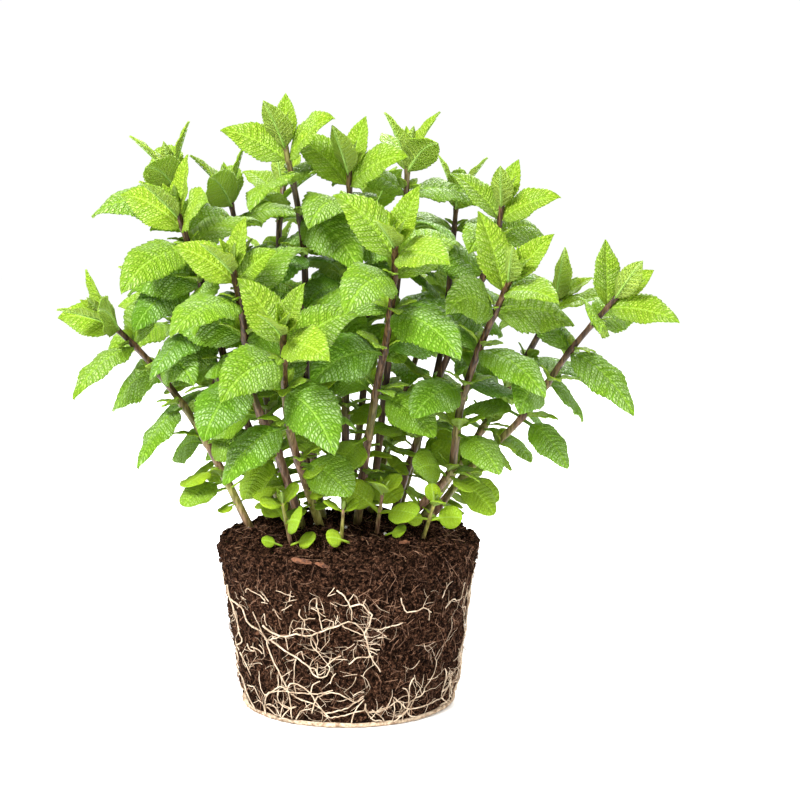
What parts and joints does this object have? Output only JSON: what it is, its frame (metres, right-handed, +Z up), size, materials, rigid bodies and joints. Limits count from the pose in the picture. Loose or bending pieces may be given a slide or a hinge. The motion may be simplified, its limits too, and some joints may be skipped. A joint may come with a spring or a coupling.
{
  "type": "mint plant on its root ball",
  "caption": "Bushy pot-grown mint lifted out of its pot: leafy square stems standing in a tapered, root-bound plug of peat that rests flat.",
  "frame": {"origin": "middle of the flat underside of the root ball", "axes": "+Z up along the stems, -Y towards the front, +X to the right as seen from the front"},
  "size_m": [0.2947, 0.2296, 0.2904],
  "materials": {
    "roots": "matte, pale and fibrous",
    "peat": "rough, damp and crumbly",
    "leaves": "soft sheen on a quilted, veined surface",
    "stalks": "satin, dark purple-brown",
    "bark": "matte",
    "perlite": "matte, porous"
  },
  "bodies": {
    "root": {"root_felt": "roots", "peat": "peat", "stem_front_middle": "leaves", "stem_front_low": "leaves", "stem_front_left": "leaves", "stem_right_front": "leaves", "stem_far_left": "leaves", "stem_far_right": "leaves", "stem_left_front": "leaves", "stem_top": "leaves", "stem_right_tall": "leaves", "stem_back_tall": "leaves", "stem_left_tall": "leaves", "stem_left_middle": "leaves", "stem_middle": "leaves", "stem_right_middle": "leaves", "stem_back_left": "leaves", "stem_back_middle": "leaves", "stem_rear_left": "leaves", "stem_rear_right": "leaves", "stem_rear_middle_left": "leaves", "stem_rear_middle_right": "leaves", "shoot_left": "leaves", "shoot_middle": "leaves", "shoot_right": "leaves", "shoot_far_right": "leaves"}
  },
  "joints": []
}
